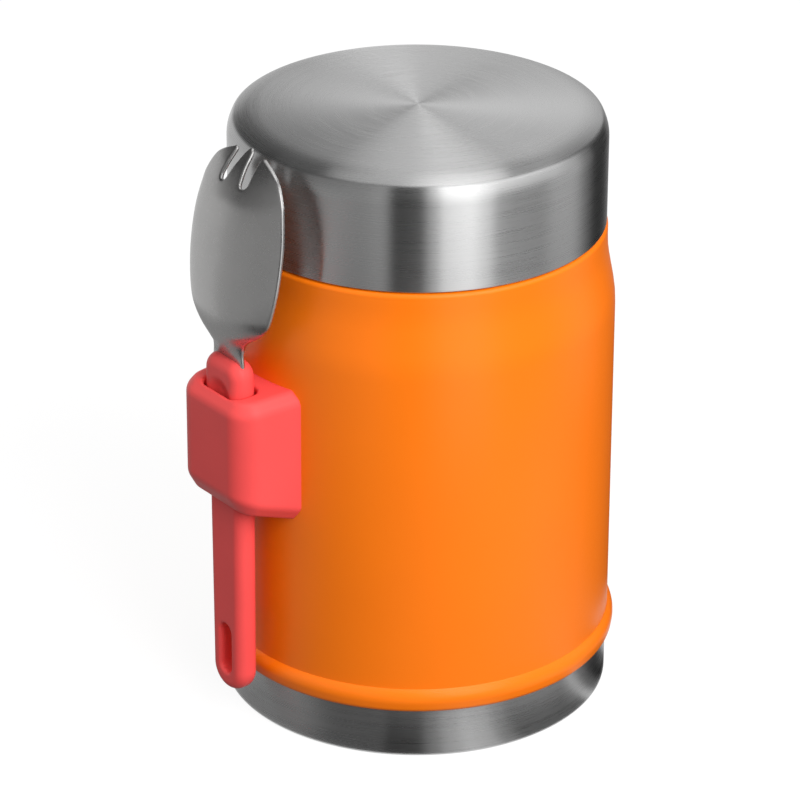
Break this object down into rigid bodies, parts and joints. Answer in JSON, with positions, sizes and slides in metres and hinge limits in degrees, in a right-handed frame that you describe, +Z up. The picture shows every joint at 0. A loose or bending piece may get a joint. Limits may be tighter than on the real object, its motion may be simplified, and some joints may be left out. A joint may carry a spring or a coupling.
{
  "type": "insulated food jar",
  "caption": "Vacuum insulated food jar with an orange painted body, a brushed steel screw lid, and a steel spork with a coral handle held in a coral holder on the side.",
  "frame": {"origin": "the jar's axis at floor level", "axes": "+Z up along the jar's axis; -Y towards the holder and the spork; +X to the right of someone who faces the holder"},
  "size_m": [0.096, 0.1082, 0.1474],
  "materials": {
    "painted_orange": "satin",
    "bare_steel": "satin",
    "brushed_steel": "brushed",
    "spork_steel": "polished",
    "screw_steel": "plain",
    "copper_foil": "bright",
    "getter_pellet": "matte",
    "seal_resin": "matte",
    "coral_moulding": "satin",
    "lid_moulding": "satin",
    "foam": "foamed",
    "gasket_silicone": "matte"
  },
  "bodies": {
    "jar": {"outer_shell": "painted_orange", "neck_ring": "bare_steel", "inner_liner": "bare_steel", "foil_wrap": "copper_foil", "foil_disc": "copper_foil", "getter_cup": "bare_steel", "getter": "getter_pellet", "bottom_plate": "bare_steel", "vacuum_seal": "seal_resin", "base_cup": "brushed_steel", "boss_upper": "bare_steel", "boss_lower": "bare_steel", "screw_upper": "screw_steel", "screw_lower": "screw_steel", "spork_holder": "coral_moulding"},
    "lid_seal": {"lid_gasket": "gasket_silicone"},
    "lid": {"lid_shell": "brushed_steel", "lid_liner": "lid_moulding", "lid_foam": "foam"},
    "spork": {"spork_head": "spork_steel", "spork_handle": "coral_moulding"}
  },
  "joints": [
    {"name": "spork_lift", "type": "slide", "parent": "jar", "child": "spork", "axis": [0, 0, 1], "range_m": [0, 0.09]},
    {"name": "lid_rise", "type": "slide", "parent": "jar", "child": "lid_seal", "axis": [0, 0, 1], "range_m": [0, 0.015]},
    {"name": "lid_turn", "type": "hinge", "parent": "lid_seal", "child": "lid", "pos_m": [0, 0, 0.125], "axis": [0, 0, 1], "range_deg": [0, 540]}
  ],
  "couplings": [
    {"joint": "lid_rise", "follows": "lid_turn", "m_per_rad": 0.0015915}
  ]
}
